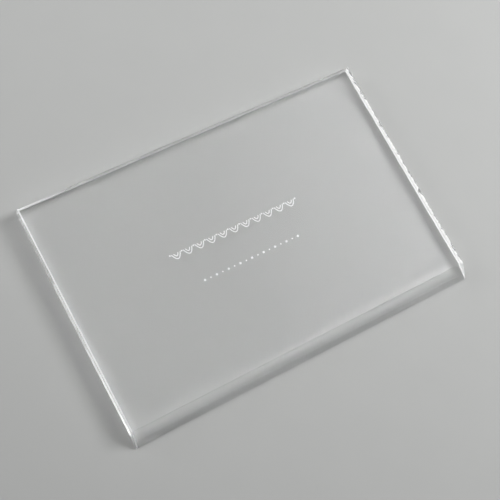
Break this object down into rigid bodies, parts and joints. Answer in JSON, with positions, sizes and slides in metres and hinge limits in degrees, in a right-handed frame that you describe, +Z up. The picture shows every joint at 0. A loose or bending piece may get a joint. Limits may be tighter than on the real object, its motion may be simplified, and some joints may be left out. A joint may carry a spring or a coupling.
{
  "type": "icing smoother",
  "caption": "Flat rectangular blade of clear plastic sheet, one long side bevelled to a working edge, one short end machined clean and the other left rough-sawn.",
  "frame": {"origin": "centre of the blade's footprint, on its flat underside", "axes": "+X along the working edge towards the sawn end, +Y from the working edge to the back, +Z up out of the bevelled side of the sheet"},
  "size_m": [0.1524, 0.1016, 0.0063],
  "materials": {
    "clear_acrylic": "water-clear cast sheet with glossy faces, scraped bevel and edges, and a frosted white sawn end"
  },
  "bodies": {
    "root": {"blade": "clear_acrylic"}
  },
  "joints": []
}
